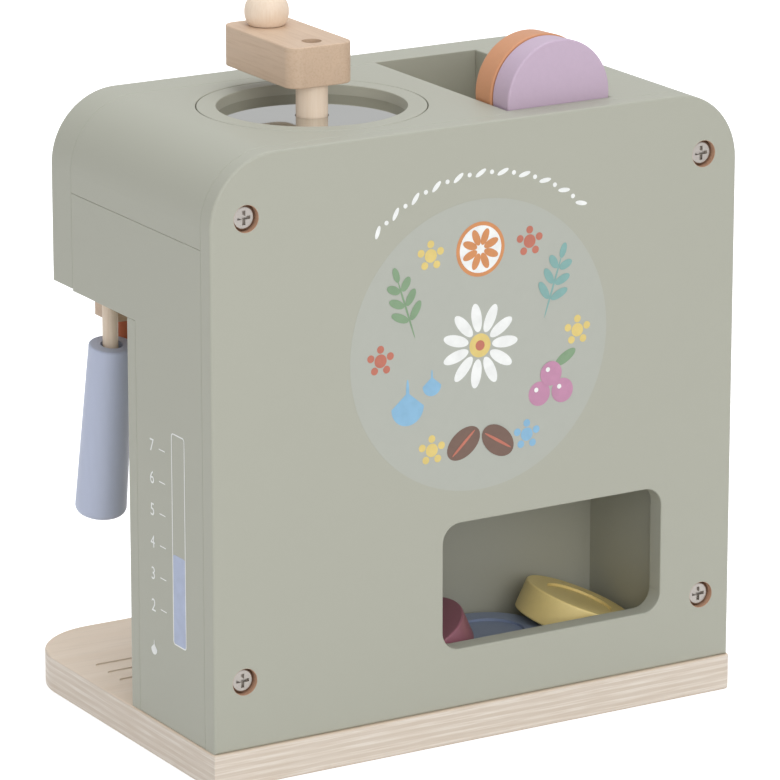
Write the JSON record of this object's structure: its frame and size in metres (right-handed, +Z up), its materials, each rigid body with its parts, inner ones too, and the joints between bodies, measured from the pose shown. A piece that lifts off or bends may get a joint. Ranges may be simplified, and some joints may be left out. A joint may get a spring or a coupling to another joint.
{
  "type": "toy coffee maker",
  "caption": "Painted wooden play coffee maker with a grinder crank, pod hopper and window, frother wand, coffee outlet and selector dial on a plywood base.",
  "frame": {"origin": "centre of the underside of the base plate", "axes": "+Z up, -Y towards the flat menu face, +Y towards the serving side under the head, +X to the right as seen from the menu face"},
  "size_m": [0.23, 0.16, 0.278],
  "materials": {
    "green_paint": "matt sage green water-based paint on fibreboard",
    "plywood": "clear matt lacquer on birch plywood, layered edge",
    "beech": "sanded solid beech, unlacquered",
    "pale_dowel": "turned pale hardwood, fine sanded",
    "raw_board": "bare or primed board",
    "pane_acrylic": "clear grey acrylic, polished",
    "screw_steel": "zinc-plated steel",
    "grip_paint": "satin blue-grey paint on turned wood",
    "terracotta_paint": "satin terracotta paint on turned wood",
    "lilac_paint": "satin paint on turned wood",
    "orange_paint": "satin paint on turned wood",
    "burgundy_paint": "satin paint on turned wood",
    "steel_blue_paint": "satin paint on turned wood",
    "yellow_paint": "satin paint on turned wood"
  },
  "bodies": {
    "case": {"base_plate": "plywood", "menu_panel": "green_paint", "left_side_panel": "green_paint", "right_side_panel": "green_paint", "column_front_panel": "green_paint", "head_front_panel": "green_paint", "head_underside_panel": "green_paint", "top_cover": "green_paint", "upper_screw_blocks": "raw_board", "lower_screw_blocks": "raw_board", "menu_screws": "screw_steel", "base_screws": "screw_steel", "tray_floor": "green_paint", "tray_left_wall": "green_paint", "tray_right_wall": "green_paint", "tray_ceiling": "green_paint", "hopper_left_wall": "green_paint", "hopper_right_wall": "green_paint", "hopper_near_wall": "green_paint", "hopper_floor": "green_paint", "grinder_ring": "green_paint", "grinder_pane": "pane_acrylic", "grinder_well": "raw_board", "wand_dowel": "pale_dowel", "wand_block": "beech", "wand_pin": "screw_steel", "outlet_bar": "beech", "outlet_dowels": "pale_dowel", "outlet_nozzles": "terracotta_paint"},
    "crank": {"crank_shaft": "pale_dowel", "crank_collar": "pale_dowel", "crank_arm": "beech", "crank_screw": "screw_steel", "knob_pin": "pale_dowel"},
    "knob": {"crank_knob": "pale_dowel"},
    "lilac_pod": {"pod_lilac": "lilac_paint"},
    "orange_pod": {"pod_orange": "orange_paint"},
    "blue_pod": {"pod_blue": "steel_blue_paint"},
    "yellow_pod": {"pod_yellow": "yellow_paint"},
    "burgundy_pod": {"pod_burgundy": "burgundy_paint"},
    "frother_grip": {"wand_grip": "grip_paint"},
    "dial": {"selector_dial": "beech", "dial_axle": "pale_dowel"}
  },
  "joints": [
    {"name": "crank_spin", "type": "hinge", "parent": "case", "child": "crank", "pos_m": [-0.0387, -0.021, 0.25], "axis": [0, 0, 1], "continuous": true},
    {"name": "knob_spin", "type": "hinge", "parent": "crank", "child": "knob", "pos_m": [-0.0387, 0.013, 0.27], "axis": [0, 0, 1], "continuous": true},
    {"name": "grip_swing", "type": "hinge", "parent": "case", "child": "frother_grip", "pos_m": [-0.1012, 0.0244, 0.14], "axis": [1, 0, 0], "range_deg": [-18.4, 0]},
    {"name": "dial_turn", "type": "hinge", "parent": "case", "child": "dial", "pos_m": [0, 0.0455, 0.204], "axis": [0, 1, 0], "range_deg": [-135, 135]},
    {"name": "lilac_lift", "type": "slide", "parent": "case", "child": "lilac_pod", "axis": [0, 0, 1], "range_m": [0, 0.05]},
    {"name": "orange_lift", "type": "slide", "parent": "case", "child": "orange_pod", "axis": [0, 0, 1], "range_m": [0, 0.05]},
    {"name": "yellow_lift", "type": "slide", "parent": "case", "child": "yellow_pod", "axis": [0, 0, 1], "range_m": [0, 0.035]},
    {"name": "burgundy_lift", "type": "slide", "parent": "case", "child": "burgundy_pod", "axis": [0, 0, 1], "range_m": [0, 0.035]},
    {"name": "blue_push", "type": "slide", "parent": "case", "child": "blue_pod", "axis": [0, 1, 0], "range_m": [-0.003, 0.002]}
  ]
}
